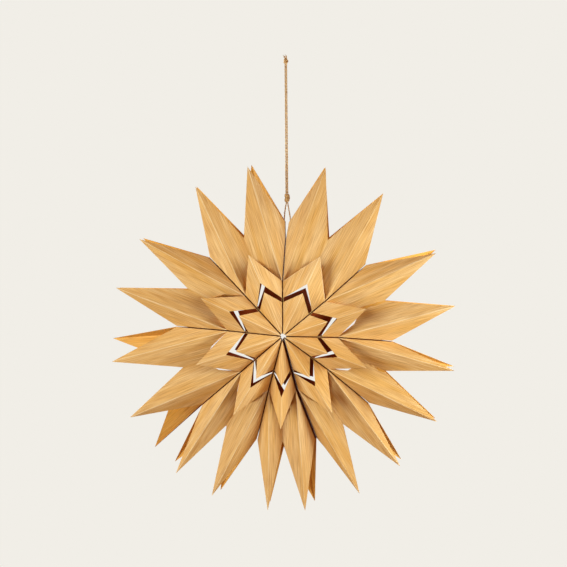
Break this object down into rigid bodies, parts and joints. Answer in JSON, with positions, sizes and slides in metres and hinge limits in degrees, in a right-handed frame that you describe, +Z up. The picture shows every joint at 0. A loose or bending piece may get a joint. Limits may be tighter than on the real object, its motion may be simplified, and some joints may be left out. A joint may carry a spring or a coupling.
{
  "type": "paper star",
  "caption": "Hanging star of folded wood-veneer paper: glued leaves with a slit inner star and reverse-folded points around a small hub hole, on a knotted jute twine.",
  "frame": {"origin": "the point the doubled twine hangs from, just below its end knot", "axes": "+Z up, the star's face looks along -Y, +X to the right as the face is seen"},
  "size_m": [0.4483, 0.1077, 0.585],
  "materials": {
    "veneer_paper": "matte",
    "jute_twine": "matte"
  },
  "bodies": {
    "root": {"leaf_1": "veneer_paper", "leaf_2": "veneer_paper", "leaf_3": "veneer_paper", "leaf_4": "veneer_paper", "leaf_5": "veneer_paper", "leaf_6": "veneer_paper", "leaf_7": "veneer_paper", "leaf_8": "veneer_paper", "leaf_9": "veneer_paper", "twine_left": "jute_twine", "twine_right": "jute_twine", "lower_knot": "jute_twine", "top_knot": "jute_twine"}
  },
  "joints": []
}
